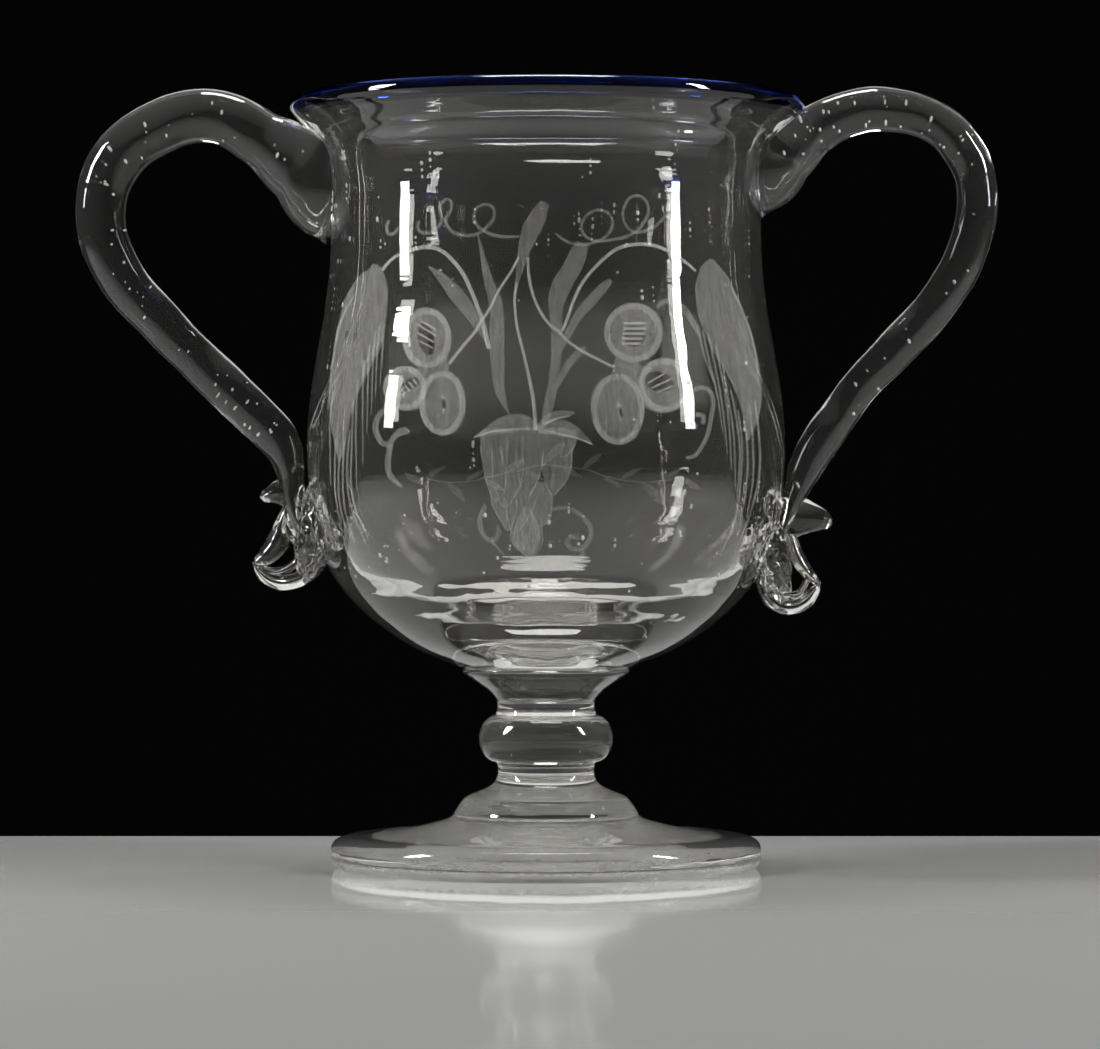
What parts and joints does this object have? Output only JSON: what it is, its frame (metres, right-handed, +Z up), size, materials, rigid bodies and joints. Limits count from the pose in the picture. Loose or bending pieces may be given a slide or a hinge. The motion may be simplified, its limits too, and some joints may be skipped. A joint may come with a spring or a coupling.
{
  "type": "glass trophy cup",
  "caption": "Two-handled glass cup with a deep round bowl, flared blue-threaded lip, knopped stem and stepped round foot; handles end in pinched curls.",
  "frame": {"origin": "centre of the ring that the foot rests on, on the cup's axis", "axes": "+Z up along the axis of bowl, stem and foot, +X towards the right handle (the one whose curl sits lower), +Y away from the engraved front"},
  "size_m": [0.2399, 0.1344, 0.2032],
  "materials": {
    "clear_glass": "fire polished",
    "cobalt_glass": "fire polished"
  },
  "bodies": {
    "root": {"foot_disc": "clear_glass", "foot_tier": "clear_glass", "stem_lower_waist": "clear_glass", "stem_knop": "clear_glass", "stem_upper_waist": "clear_glass", "bowl_collar": "clear_glass", "bowl": "clear_glass", "rim_thread": "cobalt_glass", "left_handle_pad": "clear_glass", "left_handle_arm": "clear_glass", "left_thumb_pinch": "clear_glass", "left_handle_curl": "clear_glass", "left_lower_seal": "clear_glass", "right_handle_pad": "clear_glass", "right_handle_arm": "clear_glass", "right_thumb_pinch": "clear_glass", "right_handle_curl": "clear_glass", "right_lower_seal": "clear_glass"}
  },
  "joints": []
}
